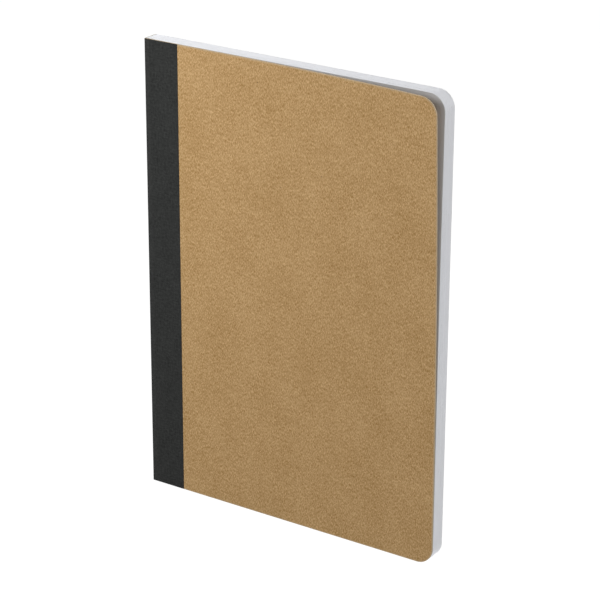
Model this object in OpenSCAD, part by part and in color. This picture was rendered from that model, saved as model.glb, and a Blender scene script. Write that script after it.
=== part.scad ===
// Pocket notebook: eight sewn sections of folded paper between two card covers, held by a
// black book-tape spine. It stands on its tail edge. X runs from the spine to the fore edge,
// Y from the front cover to the back cover, and Z from the tail to the head.
// The tape is one strip in real life. It is cut here along its fold lines, so that each length
// can turn with the cover or the half of the book that it is glued to.

/* [Page] */
// Width of the closed notebook, from the spine to the fore edge
page_w = 105; // [80:1:150]
// Height of the notebook, from the tail to the head
page_h = 148; // [110:1:220]
// Radius of the two corners at the fore edge
corner_r = 5.3; // [2:0.1:12]

/* [Covers] */
// Thickness of the kraft card
card_t = 0.45; // [0.35:0.05:0.8]
// How far the front cover's free corner stands off the pages
cover_lift = 4.4; // [0.5:0.1:5]
// How sharply the front cover bends away from its hinge
cover_bend = 2.5; // [2:0.1:4]
// How quickly the bend grows from the tail to the head
cover_twist = 2; // [1:0.1:3]
// How much narrower and shorter than the pages the back cover is cut
back_trim = 0.3; // [0:0.05:0.5]

/* [Paper] */
// Thickness of one leaf
leaf_t = 0.095; // [0.08:0.005:0.12]
// Thickness of the endpapers: the brown lining pasted inside each cover, and each flyleaf
endpaper_t = 0.1; // [0.08:0.01:0.16]
// Gap between the two middle leaves of a section, where the thread lies
fold_gap = 0.08; // [0.08:0.01:0.12]

/* [Spine] */
// Width of the tape's lap on each cover
tape_lap = 12.5; // [6:0.5:25]
// Thickness of the book tape
tape_t = 0.15; // [0.1:0.01:0.25]
// Thickness of the glue between the folds and the tape
glue_t = 0.12; // [0.1:0.01:0.3]

/* [Sewing] */
// Thickness of the thread, pressed flat
thread_t = 0.05; // [0.03:0.01:0.05]
// Width of the thread, pressed flat
thread_w = 0.4; // [0.2:0.05:0.8]
// Length of each long stitch inside a fold
stitch_inside = 32; // [20:1:36]
// Length of each short stitch outside a fold
stitch_outside = 8; // [4:1:12]

/* [Hidden] */
$fn = 48;

SECTIONS = 8;
SHEETS = 3;
STITCHES = 3;

sheet_names = [for (s = [1 : SECTIONS]) for (k = [1 : SHEETS]) str("section_", s, "_sheet_", k)];
thread_names = [for (s = [1 : SECTIONS]) str("section_", s, "_thread")];

// Thicknesses, stacked from the front cover to the back cover
section_t = 2 * SHEETS * leaf_t + fold_gap;
board_t = card_t + endpaper_t;
half_t = board_t + endpaper_t + SECTIONS / 2 * section_t;
book_t = 2 * half_t;

// Depths behind the spine's outer face
fold_x = tape_t + glue_t;
fold_centre_x = fold_x + section_t / 2;
glue_x = fold_x + section_t / 4;
thread_x = fold_x - thread_t;
// Room around the thread where it passes through paper and glue
thread_room = 0.01;
// The card's face drops by the tape's thickness under the lap, over this short ramp
lap_ramp = 0.05;
// The lip of each tape lap leans in, so that both covers can be folded right round together
lip_lean = 0.1;

// Columns and rows of the bent front cover's grid
BEND_COLUMNS = 22;
CORNER_COLUMNS = 8;
BEND_ROWS = 20;

// The front cover's lift at a place: nothing at the hinge or the tail, most at the free corner
function lift_at(x, z) =
    cover_lift * pow(max(0, (x - tape_lap) / (page_w - tape_lap)), cover_bend)
    * pow(z / page_h, cover_twist);

// How far a page's edge has drawn in from the tail or the head, inside the corner's arc
function corner_in(x) =
    let (c = max(0, x - (page_w - corner_r)))
    corner_r - sqrt(corner_r * corner_r - c * c);

// The greatest lift, which is on the corner's arc at the head, sets where the book stands
lift_peak = max([for (a = [0 : 90])
    lift_at(page_w - corner_r * (1 - sin(a)), page_h - corner_r * (1 - cos(a)))]);
front_y = (lift_peak - book_t) / 2;

// ---- Shared shapes. They are drawn with the spine at x = 0 and the front face at y = 0. ----

// Everything is placed in the notebook's own frame, centred on its base
module placed() {
    translate([-page_w / 2, front_y, 0]) children();
}

// Puts a shape drawn for the front of the book at the back of it
module at_back() {
    translate([0, book_t, 0]) mirror([0, 1, 0]) children();
}

// A flat sheet from x0 to the fore edge, with the corners rounded there. It is of page size,
// less the trim at the fore edge and the head.
module leaf(x0, y0, t, trim = 0) {
    translate([0, y0 + t, 0]) rotate([90, 0, 0]) linear_extrude(t)
        page_outline(x0, page_w - trim, page_h - trim);
}

module page_outline(x0, w, h) {
    translate([x0, 0]) square([w - corner_r - x0, h]);
    translate([x0, corner_r]) square([w - x0, h - 2 * corner_r]);
    for (z = [corner_r, h - corner_r]) translate([w - corner_r, z]) circle(corner_r);
}

// The outline of a folded sheet seen from the head: a round fold, then two leaves
module fold_outline(half_gap) {
    circle(half_gap);
    translate([0, -half_gap]) square([page_w, 2 * half_gap]);
}

// Height of the bottom of a long stitch, counted from 0 at the tail
function stitch_z(i) =
    (page_h - STITCHES * stitch_inside - (STITCHES - 1) * stitch_outside) / 2
    + i * (stitch_inside + stitch_outside);

// The thread where it goes through a fold and along the outside of it, with room around it
module thread_through(room) {
    t = thread_t + 2 * room;
    w = thread_w + 2 * room;
    for (i = [0 : STITCHES - 1])
        for (z = [stitch_z(i), stitch_z(i) + stitch_inside - thread_w])
            translate([thread_x - room, -t / 2, z - room])
                cube([fold_centre_x - thread_x + room, t, w]);
    for (i = [1 : STITCHES - 1])
        translate([thread_x - room, -t / 2, stitch_z(i) - stitch_outside - thread_w - room])
            cube([thread_t + 2 * room, t, stitch_outside + thread_w + w]);
}

function section_y(s) = board_t + endpaper_t + (s - 0.5) * section_t;

// ---- Covers ----

// A sheet that follows the bent front cover. y_in and y_out are its two faces when flat, and
// y_lap is its outer face under the tape.
module bent_sheet(x0, y_out, y_lap, y_in) {
    xs = concat(
        [x0, tape_lap - lap_ramp],
        [for (i = [0 : BEND_COLUMNS]) tape_lap + (page_w - corner_r - tape_lap) * i / BEND_COLUMNS],
        [for (i = [1 : CORNER_COLUMNS]) page_w - corner_r * (1 - sin(90 * i / CORNER_COLUMNS))]
    );
    last = len(xs) - 1;
    rows = BEND_ROWS + 1;
    function place(i, j) = corner_in(xs[i]) + (page_h - 2 * corner_in(xs[i])) * j / BEND_ROWS;
    function grid(faces) = [for (i = [0 : last]) for (j = [0 : BEND_ROWS])
        let (z = place(i, j))
        [xs[i], (i < 2 ? faces[0] : faces[1]) - lift_at(xs[i], z), z]];
    back = len(xs) * rows;
    // Corners of each small square are numbered anticlockwise, seen from its own side
    function quad(a, b, c, d) = [[a, b, c], [a, c, d]];
    function cell(i, j) = i * rows + j;
    function side(a, b) = quad(a, b, b + back, a + back);
    triangles = concat(
        [for (i = [0 : last - 1]) for (j = [0 : BEND_ROWS - 1])
            each quad(cell(i, j), cell(i, j + 1), cell(i + 1, j + 1), cell(i + 1, j))],
        [for (i = [0 : last - 1]) for (j = [0 : BEND_ROWS - 1])
            each quad(back + cell(i, j), back + cell(i + 1, j), back + cell(i + 1, j + 1),
                      back + cell(i, j + 1))],
        [for (j = [0 : BEND_ROWS - 1]) each side(cell(0, j + 1), cell(0, j))],
        [for (j = [0 : BEND_ROWS - 1]) each side(cell(last, j), cell(last, j + 1))],
        [for (i = [0 : last - 1]) each side(cell(i, 0), cell(i + 1, 0))],
        [for (i = [0 : last - 1]) each side(cell(i + 1, BEND_ROWS), cell(i, BEND_ROWS))]
    );
    polyhedron(concat(grid([y_lap, y_out]), grid([y_in, y_in])), triangles);
}

module front_cover() {
    color("#a98a5d") placed() bent_sheet(tape_t, 0, tape_t, card_t);
}

module front_pastedown() {
    color("#a7855a") placed() bent_sheet(tape_t, card_t, card_t, board_t);
}

module back_cover() {
    color("#a98a5d") placed() at_back() {
        difference() {
            leaf(tape_t, 0, card_t, back_trim);
            translate([0, -1, -1]) cube([tape_lap, 1 + tape_t, page_h + 2]);
        }
    }
}

module rear_pastedown() {
    color("#a7855a") placed() at_back() leaf(tape_t, card_t, endpaper_t, back_trim);
}

// ---- Spine ----

// The lap on a cover of this height and the lip that wraps the cover's spine edge
module tape_lap_strip(height) {
    linear_extrude(height) polygon([
        [0, 0],
        [tape_lap - lap_ramp, 0],
        [tape_lap - lap_ramp, tape_t],
        [tape_t, tape_t],
        [tape_t, board_t],
        [lip_lean, board_t]
    ]);
}

// The tape across half of the folds
module spine_tape_strip() {
    translate([0, board_t, 0]) cube([tape_t, half_t - board_t, page_h]);
}

// The glue between half of the folds and the tape, run into the grooves between the folds
module spine_glue_strip() {
    difference() {
        translate([tape_t, board_t, 0]) cube([glue_x - tape_t, half_t - board_t, page_h]);
        translate([fold_x, 0, -1]) cube([page_w, board_t + endpaper_t, page_h + 2]);
        for (s = [1 : SECTIONS / 2]) translate([0, section_y(s), 0]) {
            translate([fold_centre_x, 0, -1])
                linear_extrude(page_h + 2) fold_outline(section_t / 2);
            thread_through(thread_room);
        }
    }
}

module front_tape_lap() { color("#343635") placed() tape_lap_strip(page_h); }
module rear_tape_lap() {
    color("#343635") placed() at_back() tape_lap_strip(page_h - back_trim);
}
module front_spine_tape() { color("#343635") placed() spine_tape_strip(); }
module rear_spine_tape() { color("#343635") placed() at_back() spine_tape_strip(); }
module front_spine_glue() { color("#e8e2cf") placed() spine_glue_strip(); }
module rear_spine_glue() { color("#e8e2cf") placed() at_back() spine_glue_strip(); }

// ---- Paper ----

module front_flyleaf() { color("#efefec") placed() leaf(fold_x, board_t, endpaper_t); }
module rear_flyleaf() { color("#efefec") placed() at_back() leaf(fold_x, board_t, endpaper_t); }

// One folded sheet of a section. Sheet 1 is the outermost, and the others nest inside it.
module folded_sheet(s, k) {
    outer = section_t / 2 - (k - 1) * leaf_t;
    color("#f4f4f1") placed() translate([0, section_y(s), 0]) difference() {
        intersection() {
            translate([fold_centre_x, 0, 0]) linear_extrude(page_h) fold_outline(outer);
            leaf(0, -section_t, 2 * section_t);
        }
        translate([fold_centre_x, 0, -1]) linear_extrude(page_h + 2) fold_outline(outer - leaf_t);
        thread_through(thread_room);
    }
}

module thread(s) {
    color("#e9e4d6") placed() translate([0, section_y(s), 0]) {
        thread_through(0);
        for (i = [0 : STITCHES - 1])
            translate([fold_centre_x - fold_gap / 4, -thread_t / 2, stitch_z(i)])
                cube([thread_w, thread_t, stitch_inside]);
    }
}

// ---- The assembly ----

front_cover();
front_pastedown();
front_tape_lap();
front_flyleaf();
front_spine_glue();
front_spine_tape();
for (s = [1 : SECTIONS]) for (k = [1 : SHEETS])
    folded_sheet(s, k);
for (s = [1 : SECTIONS])
    thread(s);
rear_spine_tape();
rear_spine_glue();
rear_flyleaf();
rear_tape_lap();
rear_pastedown();
back_cover();
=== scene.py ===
"""Looks for a pocket notebook: kraft card covers, a black book-tape spine and white sewn pages.

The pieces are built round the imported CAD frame, in metres. In the functions below, x is counted
from the spine's outer face towards the fore edge, y from the front cover's outer face towards
the back cover, and z from the tail towards the head.
"""

import math
import random

import bpy
from mathutils import Matrix, Vector


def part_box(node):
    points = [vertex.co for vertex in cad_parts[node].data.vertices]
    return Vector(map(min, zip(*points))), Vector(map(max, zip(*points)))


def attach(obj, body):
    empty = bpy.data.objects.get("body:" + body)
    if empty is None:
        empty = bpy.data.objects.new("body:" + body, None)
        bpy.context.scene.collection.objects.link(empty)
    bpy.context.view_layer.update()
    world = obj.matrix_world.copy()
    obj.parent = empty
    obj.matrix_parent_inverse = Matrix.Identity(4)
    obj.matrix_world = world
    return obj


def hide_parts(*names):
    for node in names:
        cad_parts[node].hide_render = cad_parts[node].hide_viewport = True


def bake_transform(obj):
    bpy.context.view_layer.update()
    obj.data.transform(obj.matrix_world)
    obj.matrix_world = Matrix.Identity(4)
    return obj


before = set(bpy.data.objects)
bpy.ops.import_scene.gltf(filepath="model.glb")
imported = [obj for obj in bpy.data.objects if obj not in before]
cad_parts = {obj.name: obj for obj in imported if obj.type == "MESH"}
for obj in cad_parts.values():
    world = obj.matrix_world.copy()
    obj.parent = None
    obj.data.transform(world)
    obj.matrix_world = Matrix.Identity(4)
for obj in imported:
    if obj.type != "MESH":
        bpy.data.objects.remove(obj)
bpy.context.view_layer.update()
MM = 0.001
X, Y, Z = range(3)


# ---- Dimensions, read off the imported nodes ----

def extent(node, axis):
    """How long a CAD node is along one axis."""
    low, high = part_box(node)
    return high[axis] - low[axis]


ORIGIN = Vector((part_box("front_spine_tape")[0].x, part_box("front_tape_lap")[0].y,
                 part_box("front_cover")[0].z))
PAGE_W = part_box("rear_flyleaf")[1].x - ORIGIN.x
PAGE_H = extent("rear_flyleaf", Z)
BACK_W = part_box("back_cover")[1].x - ORIGIN.x
BACK_H = extent("back_cover", Z)
BOOK_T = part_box("rear_tape_lap")[1].y - ORIGIN.y
CARD_T = extent("back_cover", Y)
ENDPAPER_T = extent("rear_flyleaf", Y)
TAPE_T = extent("front_spine_tape", X)
TAPE_LAP = extent("front_tape_lap", X)
FOLD_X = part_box("front_flyleaf")[0].x - ORIGIN.x
SECTION_T = extent("section_1_sheet_1", Y)
LEAF_T = (SECTION_T - extent("section_1_sheet_2", Y)) / 2
BOARD_T = CARD_T + ENDPAPER_T
MIDDLE_Y = BOOK_T / 2
FIRST_PAGE_Y = BOARD_T + ENDPAPER_T
FOLD_CENTRE_X = FOLD_X + SECTION_T / 2

SECTIONS = 8
SHEETS = 3
CORNER_R = 5.3 * MM

# Papers are drawn a little thinner than the room they have, so that no two faces touch
PAPER_T = 0.94 * LEAF_T
ENDPAPER_SHOWN_T = 0.7 * ENDPAPER_T

# The tape bends over this length on each side of a fold line
TAPE_BEND = 0.45 * MM
# Outer radius of the tape where it turns from a cover onto the spine
TAPE_CORNER_R = 0.3 * MM
# The tape is cut here, where it is glued down and never bends
TAPE_CUT_Y = 1.5 * MM
# Its face lies this far inside the spine's plane, so that its two halves don't touch when the
# book is opened flat
TAPE_IN = 0.02 * MM

# How sharply the front cover's curl grows from the hinge, and from the tail to the head
CURL_BEND = 2.5
CURL_TWIST = 2.0
# Share of the cover's curl that the first leaf follows near the tail, falling to none at the head
PAGE_FOLLOW = 0.5
# How quickly that lift fades from the first leaf to the middle of the block
PAGE_FAN = 1.6


# ---- The curl of the front cover, and the outline of a leaf ----

def curl_share(x, z):
    """How much of the curl there is at a place: none at the hinge and the tail."""
    across = max(0.0, (x - TAPE_LAP) / (PAGE_W - TAPE_LAP))
    up = max(0.0, z / PAGE_H)
    return across ** CURL_BEND * up ** CURL_TWIST


def corner_in(x, width):
    """How far a leaf's head and tail have drawn in at x, inside the arcs of its corners."""
    c = min(CORNER_R, max(0.0, x - (width - CORNER_R)))
    return CORNER_R - math.sqrt(CORNER_R ** 2 - c ** 2)


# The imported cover's foremost point is on its corner's arc, and gives the size of the curl
ARC_XS = [PAGE_W - CORNER_R * (1 - math.sin(math.radians(a))) for a in range(91)]
CURL = ((ORIGIN.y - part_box("front_cover")[0].y)
        / max(curl_share(x, PAGE_H - corner_in(x, PAGE_W)) for x in ARC_XS))


def cover_shift(x, y, z):
    """How far the front cover has moved along Y at a place."""
    return -CURL * curl_share(x, z)


def page_shift(x, y, z):
    """How far a leaf has moved along Y: the first ones follow the cover a little."""
    fan = max(0.0, (MIDDLE_Y - y) / (MIDDLE_Y - BOARD_T)) ** PAGE_FAN
    return cover_shift(x, y, z) * PAGE_FOLLOW * max(0.0, 1 - z / PAGE_H) * min(1.0, fan)


def no_shift(x, y, z):
    """For the pieces that lie flat."""
    return 0.0


# ---- Meshes ----

# Faces that meet at more than this have a sharp edge between them
SHARP_ANGLE = math.radians(30)


def running_length(line):
    """The length along a line at each of its points."""
    lengths = [0.0]
    for a, b in zip(line, line[1:]):
        lengths.append(lengths[-1] + math.dist(a, b))
    return lengths


def row_heights(low, high, rows, chamfer):
    """Heights of a column's points, with one more near each end where there is a chamfer."""
    inner_low, inner_high = low + chamfer, high - chamfer
    heights = [inner_low + (inner_high - inner_low) * j / rows for j in range(rows + 1)]
    return [low, *heights, high] if chamfer else heights


def build_sheet(name, outer, inner, width, height, rows, materials,
                chamfer=0.0, shift=no_shift, foot=0.0):
    """A closed sheet between two lines seen from the head, its outer and its inner face.

    Its corners at the fore edge are rounded, its rim is chamfered, and the rim has the second
    material. The UV map is the sheet laid flat, in metres.
    """
    along = running_length(outer)
    columns = len(outer)
    heights = []
    for x, _ in outer:
        inset = corner_in(x, width)
        heights.append(row_heights(foot + inset, height - inset, rows, chamfer))
    row_count = len(heights[0])
    vertices = []
    for line in (outer, inner):
        for i, (x, y) in enumerate(line):
            other_x, other_y = (inner if line is outer else outer)[i]
            gap = math.dist((x, y), (other_x, other_y))
            for j, z in enumerate(heights[i]):
                t = chamfer / gap if j in (0, row_count - 1) else 0.0
                px, py = x + (other_x - x) * t, y + (other_y - y) * t
                middle_y = (y + other_y) / 2
                vertices.append(ORIGIN + Vector((px, py + shift(x, middle_y, z), z)))

    def vertex(side, i, j):
        return (side * columns + i) * row_count + j

    faces, uvs, is_rim = [], [], []

    def add(corners, rim):
        """One face, from its corners as (side, column, row, u, v)."""
        faces.append([vertex(*corner[:3]) for corner in corners])
        uvs.append([corner[3:] for corner in corners])
        is_rim.append(rim)

    for i in range(columns - 1):
        for j in range(row_count - 1):
            cell = [(i, j), (i + 1, j), (i + 1, j + 1), (i, j + 1)]
            add([(0, a, b, along[a], heights[a][b]) for a, b in cell], False)
            add([(1, a, b, -along[a], heights[a][b]) for a, b in reversed(cell)], False)
        for j in (0, row_count - 1):
            ends = [(0, i), (1, i), (1, i + 1), (0, i + 1)]
            thick = math.dist(outer[i], inner[i])
            rim = [(s, a, j, along[a], heights[a][j] + s * thick) for s, a in ends]
            add(rim if j == 0 else rim[::-1], True)
    for i in (0, columns - 1):
        thick = math.dist(outer[i], inner[i])
        for j in range(row_count - 1):
            ends = [(0, j), (0, j + 1), (1, j + 1), (1, j)]
            rim = [(s, i, b, along[i] + s * thick, heights[i][b]) for s, b in ends]
            add(rim if i == 0 else rim[::-1], True)

    step = Vector(outer[1]) - Vector(outer[0])
    out = Vector(outer[0]) - Vector(inner[0])
    if step.y * out.x - step.x * out.y < 0:
        faces = [face[::-1] for face in faces]
        uvs = [uv[::-1] for uv in uvs]
    return finish_mesh(name, vertices, faces, uvs, is_rim, materials)


def finish_mesh(name, vertices, faces, uvs, is_rim, materials):
    """An object from a sheet's vertices and faces, smooth but for its sharp edges."""
    mesh = bpy.data.meshes.new(name)
    mesh.from_pydata(vertices, [], faces)
    layer = mesh.uv_layers.new(name="Flat")
    layer.data.foreach_set("uv", [value for face in uvs for uv in face for value in uv])
    for material in materials:
        mesh.materials.append(material)
    for polygon, rim in zip(mesh.polygons, is_rim):
        polygon.material_index = 1 if rim and len(materials) > 1 else 0
    mesh.shade_smooth()
    mesh.set_sharp_from_angle(angle=SHARP_ANGLE)
    piece = bpy.data.objects.new(name, mesh)
    bpy.context.scene.collection.objects.link(piece)
    return piece


def spread(a, b, count):
    """Evenly spaced values from a up to but not including b."""
    return [a + (b - a) * i / count for i in range(count)]


def to_fore_edge(x0, width, count, steps):
    """Places along a leaf from x0 to its fore edge, closer together round the corners."""
    straight = width - CORNER_R
    arc = [straight + CORNER_R * math.sin(math.radians(90 * i / steps)) for i in range(steps + 1)]
    return spread(x0, straight, count) + arc


def at_back(line):
    """A line drawn for the front of the book, at the back of it."""
    return [(x, BOOK_T - y) for x, y in line]


def offset(line, distance):
    """The line moved sideways to the left of its direction."""
    moved = []
    for i, (x, y) in enumerate(line):
        a, b = line[max(0, i - 1)], line[min(len(line) - 1, i + 1)]
        length = math.dist(a, b)
        moved.append((x - (b[1] - a[1]) / length * distance, y + (b[0] - a[0]) / length * distance))
    return moved


def arc(centre, radius, start, end, steps):
    """Points round a centre, from one angle to another in degrees."""
    points = []
    for i in range(steps + 1):
        angle = math.radians(start + (end - start) * i / steps)
        points.append((centre[0] + radius * math.cos(angle), centre[1] + radius * math.sin(angle)))
    return points


# ---- Materials ----

class Graph:
    """A material's nodes, with short calls that return the socket to use next."""

    def __init__(self, name):
        self.material = bpy.data.materials.new(name)
        self.material.use_nodes = True
        self.tree = self.material.node_tree
        self.tree.nodes.clear()
        self.shader = self.add("BsdfPrincipled")
        self.add("OutputMaterial", {"Surface": self.shader.outputs["BSDF"]})

    def add(self, kind, inputs=None, **settings):
        """A new node, from its inputs' values or sockets and its settings."""
        made = self.tree.nodes.new("ShaderNode" + kind)
        for name, value in settings.items():
            setattr(made, name, value)
        for name, value in (inputs or {}).items():
            self.put(made.inputs[name], value)
        return made

    def put(self, socket, value):
        """Link an input to a socket, or set its value."""
        if isinstance(value, bpy.types.NodeSocket):
            self.tree.links.new(value, socket)
        else:
            socket.default_value = value

    def flat(self):
        """Millimetres on the sheet laid flat."""
        uv = self.add("UVMap", uv_map="Flat").outputs["UV"]
        return self.add("Mapping", {"Vector": uv, "Scale": (1 / MM, 1 / MM, 1 / MM)}).outputs[0]

    def solid(self):
        """Millimetres in the object's own space."""
        place = self.add("TexCoord").outputs["Object"]
        return self.add("Mapping", {"Vector": place, "Scale": (1 / MM, 1 / MM, 1 / MM)}).outputs[0]

    def noise(self, place, size, detail=2.0, rough=0.5, angle=0.0, shift=0.0):
        """Noise of about this size in millimetres, (across, along), turned by an angle."""
        turned = self.add("Mapping", {
            "Vector": place, "Rotation": (0, 0, math.radians(angle)),
            "Location": (shift, shift, 0)}).outputs[0]
        sized = self.add("Mapping", {
            "Vector": turned, "Scale": (1 / size[0], 1 / size[1], 1 / size[0])}).outputs[0]
        return self.add("TexNoise", {
            "Vector": sized, "Scale": 1.0, "Detail": detail, "Roughness": rough}).outputs["Fac"]

    def math(self, operation, *values):
        """One step of arithmetic."""
        made = self.add("Math", operation=operation)
        for socket, value in zip(made.inputs, values):
            self.put(socket, value)
        return made.outputs[0]

    def total(self, parts):
        """The sum of (weight, socket) pairs, each first centred on 0."""
        result = 0.0
        for weight, part in parts:
            result = self.math("MULTIPLY_ADD", self.math("SUBTRACT", part, 0.5), weight, result)
        return result

    def step(self, value, none, full):
        """From 0 at none to 1 at full, and level beyond them, whichever of the two is larger."""
        return self.add("MapRange", {
            "Value": value, "From Min": none, "From Max": full}).outputs["Result"]

    def mix(self, factor, a, b):
        """Colour a where the factor is 0, and b where it is 1."""
        made = self.add("Mix", data_type="RGBA")
        self.put(made.inputs[0], factor)
        self.put(made.inputs[6], a)
        self.put(made.inputs[7], b)
        return made.outputs[2]

    def brighten(self, colour, amount):
        """The colour times 1 plus the amount."""
        grey = self.math("ADD", amount, 1.0)
        made = self.add("Mix", data_type="RGBA", blend_type="MULTIPLY")
        self.put(made.inputs[0], 1.0)
        self.put(made.inputs[6], colour)
        self.put(made.inputs[7], self.add("CombineXYZ", {"X": grey, "Y": grey, "Z": grey}).outputs[0])
        return made.outputs[2]

    def bump(self, height, depth, strength=1.0):
        """Bumps this deep, in metres, for a height that varies by about 1."""
        made = self.add("Bump", {"Height": height, "Distance": depth, "Strength": strength})
        return made.outputs["Normal"]

    def shade(self, **inputs):
        """Set the shader's inputs, and give the finished material."""
        for name, value in inputs.items():
            self.put(self.shader.inputs[name.replace("_", " ")], value)
        return self.material


def colour(red, green, blue):
    """A colour as it looks on a screen, from 0 to 255, as the linear one that a shader takes."""
    def linear(value):
        value /= 255
        return value / 12.92 if value <= 0.04045 else ((value + 0.055) / 1.055) ** 2.4
    return (linear(red), linear(green), linear(blue), 1.0)


# A painted highlight makes the covers' free edges pale: how far in, in millimetres, and how strongly
RIM_HIGHLIGHT_DEPTH = 0.5
RIM_HIGHLIGHT_STRENGTH = 0.55
# As shares of that depth: the range its inner limit wanders over, and where the painted highlight is
# full
RIM_HIGHLIGHT_WANDER = 1.2
RIM_HIGHLIGHT_FULL = 0.2


def painted_rim_highlight(g, place):
    """Where the painted edge highlight lies: 1 at a cover's free edges and corners, fading to 0 a
    little way in.
    """
    axes = g.add("SeparateXYZ", {"Vector": place})
    radius, half_height = CORNER_R / MM, PAGE_H / 2 / MM
    across = g.math("SUBTRACT", axes.outputs["X"], PAGE_W / MM - radius)
    from_middle = g.math("ABSOLUTE", g.math("SUBTRACT", axes.outputs["Y"], half_height))
    up = g.math("SUBTRACT", from_middle, half_height - radius)
    squares = [g.math("POWER", g.math("MAXIMUM", part, 0.0), 2.0) for part in (across, up)]
    inside = g.math("SUBTRACT", radius, g.math("SQRT", g.math("ADD", *squares)))
    patches = g.noise(place, (1.2, 1.2), detail=3.0, rough=0.6, shift=61)
    uneven = g.total([(RIM_HIGHLIGHT_WANDER * RIM_HIGHLIGHT_DEPTH, patches)])
    return g.step(g.math("ADD", inside, uneven), RIM_HIGHLIGHT_DEPTH, RIM_HIGHLIGHT_FULL * RIM_HIGHLIGHT_DEPTH)


def kraft_card():
    """Unbleached card: a felt of short pale and dark fibres that run mostly up the cover."""
    g = Graph("kraft_card")
    place = g.flat()
    fibres = g.total([
        (1.0, g.noise(place, (0.24, 0.85), rough=0.6, angle=4)),
        (0.7, g.noise(place, (0.22, 0.75), rough=0.6, angle=26, shift=7)),
        (0.7, g.noise(place, (0.22, 0.75), rough=0.6, angle=-24, shift=19)),
    ])
    clouds = g.total([
        (0.5, g.noise(place, (1.6, 2.6))),
        (0.4, g.noise(place, (11, 16))),
    ])
    felt = g.math("ADD", g.math("MULTIPLY", fibres, 2.4), clouds)
    shaded, lit = colour(152, 115, 61), colour(205, 170, 122)
    base = g.mix(g.math("ADD", felt, 0.5), shaded, lit)
    pale = g.step(g.noise(place, (0.14, 1.6), angle=-12, shift=31), 0.64, 0.72)
    dark = g.step(g.noise(place, (0.14, 1.4), angle=15, shift=43), 0.66, 0.74)
    pale_fibre, dark_fibre, fibre_strength = colour(221, 190, 144), colour(118, 85, 45), 0.6
    with_pale = g.mix(g.math("MULTIPLY", pale, fibre_strength), base, pale_fibre)
    with_dark = g.mix(g.math("MULTIPLY", dark, fibre_strength), with_pale, dark_fibre)
    # Some of these cells, about 6 mm wide, have a dark speck up to half a millimetre wide
    cells = g.add("TexVoronoi", {"Vector": place, "Scale": 0.16}, feature="F1")
    speck = g.step(cells.outputs["Distance"], 0.04, 0.025)
    rare = g.step(g.noise(place, (5, 5), detail=0.0, shift=83), 0.56, 0.6)
    with_specks = g.mix(g.math("MULTIPLY", speck, rare), with_dark, colour(76, 55, 36))
    # Painted highlight: the free edges are mixed towards a pale colour, as if they caught the light
    rim_highlight = g.math("MULTIPLY", painted_rim_highlight(g, place), RIM_HIGHLIGHT_STRENGTH)
    finished = g.mix(rim_highlight, with_specks, colour(187, 168, 139))
    rough = g.math("MULTIPLY_ADD", fibres, 0.12, 0.8)
    return g.shade(Base_Color=finished, Roughness=rough, Specular_IOR_Level=0.25,
                   Normal=g.bump(fibres, 0.03 * MM))


def kraft_cut():
    """The card's cut edge: paler, partly by its own tone and partly by a painted highlight, with its
    plies showing as lines along it.
    """
    g = Graph("kraft_cut_edge")
    place = g.solid()
    plies = g.noise(place, (0.12, 0.12), rough=0.6)
    # Partly painted highlight: the edge is given a paler colour than its own tone
    base = g.brighten(colour(200, 186, 162), g.total([(0.35, plies)]))
    return g.shade(Base_Color=base, Roughness=0.9, Specular_IOR_Level=0.2,
                   Normal=g.bump(plies, 0.02 * MM))


def weave(g, place, pitch):
    """Height of a plain weave: threads one way go over and under those the other way."""
    scaled = g.add("Mapping", {"Vector": place, "Scale": (1 / pitch, 1 / pitch, 1)}).outputs[0]
    axes = g.add("SeparateXYZ", {"Vector": scaled})
    across = g.math("SINE", g.math("MULTIPLY", axes.outputs["X"], math.pi))
    up = g.math("SINE", g.math("MULTIPLY", axes.outputs["Y"], math.pi))
    return g.math("MULTIPLY_ADD", g.math("MULTIPLY", across, up), 0.5, 0.5)


# The tape's threads are this far apart, in millimetres
THREAD_PITCH = 0.32
# A painted highlight lies in a band beside the spine's corner: how far from the corner, in
# millimetres, the band starts and is at its full on the cover's side, and on the corner's side
TAPE_HIGHLIGHT_FROM_COVER = (2.2, 1.5)
TAPE_HIGHLIGHT_FROM_CORNER = (0.3, 0.9)
TAPE_HIGHLIGHT_STRENGTH = 0.16


def book_tape():
    """Black book cloth: a fine matte weave, filled, uneven, with a painted highlight in a band beside
    the spine.
    """
    g = Graph("book_tape")
    place = g.flat()
    threads = weave(g, place, THREAD_PITCH)
    slubs = g.total([
        (0.6, g.noise(place, (0.35, 3.0))),
        (0.6, g.noise(place, (3.0, 0.35), shift=11)),
        (1.0, g.noise(place, (0.7, 0.7), detail=3.0, shift=23)),
    ])
    height = g.math("ADD", threads, slubs)
    tone = g.math("ADD", g.total([(0.3, threads), (0.5, g.noise(place, (7, 9)))]),
                  g.math("MULTIPLY", slubs, 1.4))
    along = g.add("SeparateXYZ", {"Vector": place}).outputs["X"]
    corner = TAPE_LAP / MM
    highlight_band = g.math("MULTIPLY", *(g.step(along, corner - start, corner - full)
                                    for start, full in (TAPE_HIGHLIGHT_FROM_COVER, TAPE_HIGHLIGHT_FROM_CORNER)))
    # Painted highlight: the band beside the spine's corner is made lighter
    base = g.brighten(colour(45, 46, 45),
                      g.math("MULTIPLY_ADD", highlight_band, TAPE_HIGHLIGHT_STRENGTH, tone))
    return g.shade(Base_Color=base, Roughness=g.math("MULTIPLY_ADD", slubs, 0.1, 0.8),
                   Specular_IOR_Level=0.15, Normal=g.bump(height, 0.02 * MM))


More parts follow.
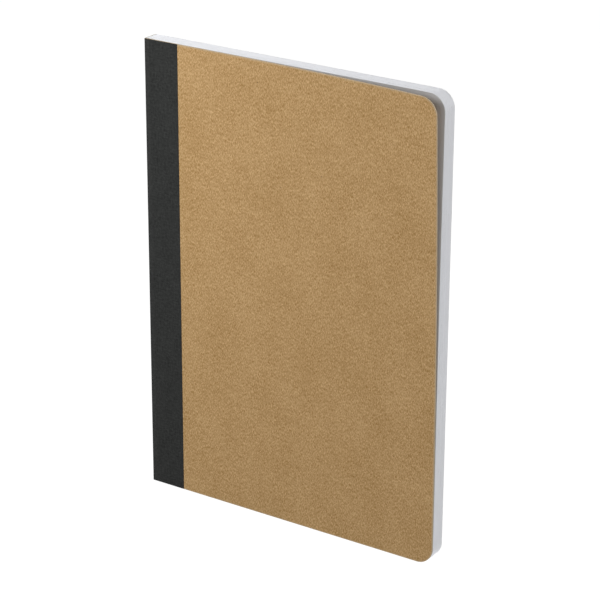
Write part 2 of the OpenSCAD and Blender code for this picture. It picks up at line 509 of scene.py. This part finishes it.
def page_paper():
    """Smooth uncoated paper: a faint cloudy formation and a very fine tooth."""
    g = Graph("page_paper")
    place = g.flat()
    tooth = g.total([(1.0, g.noise(place, (0.12, 0.2), detail=3.0, rough=0.6))])
    clouds = g.total([
        (0.02, g.noise(place, (2.5, 3.5), detail=3.0)),
        (0.015, g.noise(place, (20, 26), detail=1.0)),
    ])
    base = g.brighten(colour(240, 241, 243), g.math("MULTIPLY_ADD", tooth, 0.03, clouds))
    return g.shade(Base_Color=base, Roughness=0.85, Specular_IOR_Level=0.25,
                   Normal=g.bump(tooth, 0.006 * MM))


def page_cut():
    """The cut edge of a leaf: the knife leaves fine marks along it."""
    g = Graph("page_cut_edge")
    place = g.solid()
    marks = g.total([
        (0.5, g.noise(place, (0.5, 0.08))),
        (0.5, g.noise(place, (3.0, 1.2))),
    ])
    base = g.brighten(colour(240, 241, 245), g.math("MULTIPLY", marks, 0.06))
    return g.shade(Base_Color=base, Roughness=0.9, Specular_IOR_Level=0.2,
                   Normal=g.bump(marks, 0.01 * MM))


def lining_paper():
    """Brown paper glued inside the covers: smoother and more even than the card."""
    g = Graph("lining_paper")
    place = g.flat()
    fibres = g.total([
        (1.0, g.noise(place, (0.2, 0.9), rough=0.6, angle=4)),
        (0.7, g.noise(place, (0.2, 0.7), rough=0.6, angle=-30, shift=19)),
    ])
    clouds = g.total([
        (0.3, g.noise(place, (2.5, 3.5), detail=3.0)),
        (0.3, g.noise(place, (20, 26), detail=1.0)),
    ])
    felt = g.math("ADD", g.math("MULTIPLY", fibres, 1.2), clouds)
    base = g.mix(g.math("ADD", felt, 0.5), colour(118, 90, 56), colour(152, 122, 84))
    return g.shade(Base_Color=base, Roughness=0.85, Specular_IOR_Level=0.25,
                   Normal=g.bump(fibres, 0.015 * MM))


def endpaper():
    """The first and the last leaf: heavier than the pages, with more tooth."""
    g = Graph("endpaper")
    place = g.flat()
    tooth = g.total([
        (0.6, g.noise(place, (0.2, 0.35), detail=3.0, rough=0.6)),
        (0.6, g.noise(place, (0.6, 0.6))),
    ])
    clouds = g.total([
        (0.03, g.noise(place, (3.5, 5.0), detail=3.0)),
        (0.02, g.noise(place, (24, 30), detail=1.0)),
    ])
    base = g.brighten(colour(230, 230, 230), g.math("MULTIPLY_ADD", tooth, 0.04, clouds))
    return g.shade(Base_Color=base, Roughness=0.85, Specular_IOR_Level=0.25,
                   Normal=g.bump(tooth, 0.01 * MM))


def linen_thread():
    """Unbleached thread, twisted."""
    g = Graph("linen_thread")
    place = g.solid()
    twist = g.noise(place, (0.12, 0.12))
    base = g.brighten(colour(226, 220, 204), g.total([(0.25, twist)]))
    return g.shade(Base_Color=base, Roughness=0.7, Normal=g.bump(twist, 0.02 * MM))


def spine_glue():
    """Dried glue: cream, a little glossy, with brush ripples."""
    g = Graph("spine_glue")
    place = g.solid()
    ripples = g.total([
        (0.7, g.noise(place, (0.5, 0.5), detail=3.0)),
        (0.5, g.noise(place, (2.5, 2.5))),
    ])
    base = g.brighten(colour(228, 221, 200), g.math("MULTIPLY", ripples, 0.12))
    return g.shade(Base_Color=base, Roughness=0.45, Normal=g.bump(ripples, 0.03 * MM))


KRAFT = kraft_card()
KRAFT_CUT = kraft_cut()
TAPE = book_tape()
PAGE = page_paper()
PAGE_CUT = page_cut()
LINING = lining_paper()
ENDPAPER = endpaper()
THREAD = linen_thread()
GLUE = spine_glue()


# ---- Covers ----

CARD_CHAMFER = 0.06 * MM
# The card's face drops under the tape's lap over this short ramp
LAP_RAMP = 0.05 * MM


def card_lines(width):
    """The card's outer and inner face, seen from the head."""
    flat = to_fore_edge(TAPE_LAP, width - CARD_CHAMFER, count=44, steps=14)
    xs = [TAPE_T, TAPE_T + CARD_CHAMFER, TAPE_LAP - LAP_RAMP, *flat, width]
    under_lap = xs[:3]
    outer = [(x, TAPE_T if x in under_lap else 0.0) for x in xs]
    inner = [(x, CARD_T) for x in xs]
    for i in (0, -1):
        x, y = outer[i]
        outer[i] = (x, y + CARD_CHAMFER)
        inner[i] = (x, CARD_T - CARD_CHAMFER)
    return outer, inner


def covers():
    """Both cards. The front one has more rows, for its curl."""
    outer, inner = card_lines(PAGE_W)
    front = build_sheet("front_cover_card", outer, inner, PAGE_W, PAGE_H, rows=40,
                        materials=[KRAFT, KRAFT_CUT], chamfer=CARD_CHAMFER, shift=cover_shift)
    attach(front, "front_board")
    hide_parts("front_cover")
    outer, inner = card_lines(BACK_W)
    back = build_sheet("back_cover_card", at_back(outer), at_back(inner), BACK_W, BACK_H, rows=12,
                       materials=[KRAFT, KRAFT_CUT], chamfer=CARD_CHAMFER)
    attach(back, "back_board")
    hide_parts("back_cover")


# ---- Spine ----

TAPE_CHAMFER = 0.03 * MM
# The mesh is fine this far from the middle fold, a little further than the tape bends
FINE_REACH = 1.2 * TAPE_BEND


def lap_line():
    """The tape's outer face from the edge of its lap, round the spine's corner, to its cut."""
    fine = 0.05 * MM
    near = 2 * TAPE_BEND
    corner = TAPE_IN + TAPE_CORNER_R
    fine_steps = round((near - corner) / fine)
    line = [(x, 0.0) for x in spread(TAPE_LAP - LAP_RAMP, near, count=8)]
    line += [(x, 0.0) for x in spread(near, corner, fine_steps)]
    line += arc((corner, TAPE_CORNER_R), TAPE_CORNER_R, start=270, end=180, steps=8)
    line += [(TAPE_IN, y) for y in spread(TAPE_CORNER_R, near, fine_steps)[1:]]
    return line + [(TAPE_IN, near), (TAPE_IN, TAPE_CUT_Y)]


def tape():
    """The spine tape, cut where it is glued to the rigid middle of each half of the block."""
    line = lap_line()
    inner = offset(line, TAPE_IN - TAPE_T)
    front = build_sheet("front_tape", line, inner, PAGE_W, PAGE_H, rows=12, materials=[TAPE],
                        chamfer=TAPE_CHAMFER)
    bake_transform(front)
    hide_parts("front_tape_lap")
    rear = build_sheet("rear_tape", at_back(line), at_back(inner), PAGE_W, BACK_H, rows=12,
                       materials=[TAPE], chamfer=TAPE_CHAMFER)
    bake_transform(rear)
    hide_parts("rear_tape_lap")
    low, high = MIDDLE_Y - FINE_REACH, MIDDLE_Y + FINE_REACH
    ys = [TAPE_CUT_Y, *spread(low, high, count=24), high, BOOK_T - TAPE_CUT_Y]
    middle = build_sheet("middle_tape", [(TAPE_IN, y) for y in ys], [(TAPE_T, y) for y in ys],
                         PAGE_W, PAGE_H, rows=12, materials=[TAPE], chamfer=TAPE_CHAMFER)
    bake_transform(middle)
    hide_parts("front_spine_tape", "rear_spine_tape")


# ---- Paper ----

# The lining folds over at the hinge and is glued down onto the flyleaf up to here
TIPPED = 3 * MM


def linings_and_flyleaves():
    """Each cover's brown lining folds over at the hinge, onto the white flyleaf's first stretch."""
    thick = ENDPAPER_SHOWN_T
    fold_r = (ENDPAPER_T * 2 - thick) / 2
    centre = (FOLD_X + ENDPAPER_T, BOARD_T)
    pasted, tipped = centre[1] - fold_r, centre[1] + fold_r
    far = to_fore_edge(TAPE_LAP, PAGE_W, count=30, steps=12)
    for end, board, half, mirror, width, height, shift in (
            ("front", "front_board", "front_half", list, PAGE_W, PAGE_H, cover_shift),
            ("rear", "back_board", "rear_half", at_back, BACK_W, BACK_H, no_shift)):
        xs = [x - (PAGE_W - width) for x in reversed(far)]
        line = [(x, pasted) for x in xs] + [(TIPPED, pasted)]
        line += arc(centre, fold_r, start=270, end=90, steps=16) + [(TIPPED, tipped)]
        outer, inner = offset(line, thick / 2), offset(line, -thick / 2)
        lining = build_sheet(end + "_lining_paper", mirror(outer), mirror(inner), width, height,
                             rows=24, materials=[LINING], shift=shift)
        y_start, y_end = mirror([(0, pasted + thick / 2), (0, tipped - thick / 2)])
        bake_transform(lining)
        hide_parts(end + "_pastedown")
        xs = [TIPPED, *far]
        front = [(x, tipped - thick / 2) for x in xs]
        back = [(x, tipped + thick / 2) for x in xs]
        flyleaf = build_sheet(end + "_flyleaf_leaf", mirror(front), mirror(back), PAGE_W, PAGE_H,
                              rows=24, materials=[ENDPAPER], shift=page_shift)
        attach(flyleaf, half)
        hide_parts(end + "_flyleaf")


# Leaves lie as the thread spaces them up to here, and evenly beyond there
NEAR_FOLD = 1.2 * MM
EVEN_FROM = 9 * MM
# Most that the knife left one leaf shorter than another
RAGGED = 0.05 * MM
# For the knife's differences
SEED = 7


def leaf_offset(sheet_number, x):
    """How far a leaf is from the middle of its section."""
    near = SECTION_T / 2 - (sheet_number - 0.5) * LEAF_T
    even = SECTION_T / 2 * (1 - (sheet_number - 0.5) / SHEETS)
    t = min(1.0, max(0.0, (x - NEAR_FOLD) / (EVEN_FROM - NEAR_FOLD)))
    return near + (even - near) * t * t * (3 - 2 * t)


def folded_sheets():
    """The block: sections of nested sheets, each cut a little differently by the knife."""
    draw = random.Random(SEED)
    for section in range(1, SECTIONS + 1):
        middle = FIRST_PAGE_Y + (section - 0.5) * SECTION_T
        for number in range(1, SHEETS + 1):
            width = PAGE_W - draw.uniform(0, RAGGED)
            height = PAGE_H - draw.uniform(0, RAGGED)
            foot = draw.uniform(0, RAGGED / 2)
            xs = [NEAR_FOLD, *to_fore_edge(2 * NEAR_FOLD, width, count=16, steps=10)]
            front = [(x, middle - leaf_offset(number, x)) for x in reversed(xs)]
            rear = [(x, middle + leaf_offset(number, x)) for x in xs]
            fold = arc((FOLD_CENTRE_X, middle), leaf_offset(number, 0), start=270, end=90, steps=10)
            line = front + fold + rear
            name = f"section_{section}_sheet_{number}"
            piece = build_sheet(name + "_paper", offset(line, PAPER_T / 2),
                                offset(line, -PAPER_T / 2), width, height, rows=16,
                                materials=[PAGE, PAGE_CUT], shift=page_shift, foot=foot)
            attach(piece, "front_half" if section <= SECTIONS / 2 else "rear_half")
            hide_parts(name)


def sewing_and_glue():
    """The CAD nodes that keep their shape, with better materials."""
    for name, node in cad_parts.items():
        for ending, material in (("_thread", THREAD), ("_glue", GLUE)):
            if name.endswith(ending):
                node.data.materials.clear()
                node.data.materials.append(material)


# ---- Camera, light and floor ----

CAMERA_AZIMUTH = math.radians(33.53)
CAMERA_ELEVATION = math.radians(21.94)
CAMERA_ROLL = math.radians(0.277)
CAMERA_DISTANCE = 4.811 * PAGE_H
# What the camera points at on the front cover, as shares of its width and height
AIM = (0.5419, 0.5119)
LENS_MM = 142.1
CLIP = (0.01, 100)


def camera():
    """The photo's viewpoint, with no lens shift."""
    data = bpy.data.cameras.new("camera")
    data.lens = LENS_MM
    data.clip_start, data.clip_end = CLIP
    made = bpy.data.objects.new("camera", data)
    bpy.context.scene.collection.objects.link(made)
    back = Vector((math.sin(CAMERA_AZIMUTH) * math.cos(CAMERA_ELEVATION),
                   -math.cos(CAMERA_AZIMUTH) * math.cos(CAMERA_ELEVATION),
                   math.sin(CAMERA_ELEVATION)))
    aim = ORIGIN + Vector((AIM[0] * PAGE_W, 0, AIM[1] * PAGE_H))
    turn = (-back).to_track_quat("-Z", "Y").to_matrix() @ Matrix.Rotation(CAMERA_ROLL, 3, "Z")
    made.matrix_world = Matrix.Translation(aim + back * CAMERA_DISTANCE) @ turn.to_4x4()
    bpy.context.scene.camera = made


# Each lamp's place from the notebook's middle, its size, and its power in watts. The key shines
# on the front cover. The others stand behind the first leaf, so that they don't light the gap
# under the cover: the top one is for the head, and the side one for the fore edge.
LIGHTS = {
    "key": ((-0.193, -0.18, 0.165), 0.12, 0.558),
    "top": ((0.15, 0.2, 1.0), 0.3, 6.9),
    "side": ((0.6, 0.3, 0.1), 0.3, 0.575),
}
FLOOR_HALF = 30.0


def area_light(name, place, target, size, power):
    """A square lamp that the camera doesn't see."""
    data = bpy.data.lights.new(name, "AREA")
    data.shape = "SQUARE"
    data.size = size
    data.energy = power
    made = bpy.data.objects.new(name, data)
    bpy.context.scene.collection.objects.link(made)
    made.location = place
    made.rotation_mode = "QUATERNION"
    made.rotation_quaternion = (Vector(target) - Vector(place)).to_track_quat("-Z", "Y")
    made.visible_camera = False


def floor_material():
    """White from its own light, so that nothing casts a shadow on it."""
    g = Graph("floor")
    return g.shade(Base_Color=(0.05, 0.05, 0.05, 1), Roughness=1.0, Emission_Color=(1, 1, 1, 1),
                   Emission_Strength=1.0)


def studio():
    """Lamps, a white floor, and the same white beyond it."""
    centre = ORIGIN + Vector((PAGE_W / 2, MIDDLE_Y, PAGE_H / 2))
    for name, (place, size, power) in LIGHTS.items():
        area_light(name, centre + Vector(place), centre, size, power)
    mesh = bpy.data.meshes.new("floor")
    half = FLOOR_HALF
    mesh.from_pydata([(-half, -half, 0), (half, -half, 0), (half, half, 0), (-half, half, 0)],
                     [], [(0, 1, 2, 3)])
    mesh.materials.append(floor_material())
    floor = bpy.data.objects.new("floor", mesh)
    bpy.context.scene.collection.objects.link(floor)
    world = bpy.data.worlds.new("studio")
    bpy.context.scene.world = world
    world.use_nodes = True
    background = world.node_tree.nodes["Background"]
    background.inputs["Color"].default_value = (1, 1, 1, 1)
    background.inputs["Strength"].default_value = 1.0
    # The white beyond the floor is only seen: the floor and the lamps give all the light
    world.cycles_visibility.diffuse = False
    world.cycles_visibility.glossy = False
    bpy.context.scene.view_settings.view_transform = "Standard"


camera()
studio()
covers()
tape()
linings_and_flyleaves()
folded_sheets()
sewing_and_glue()
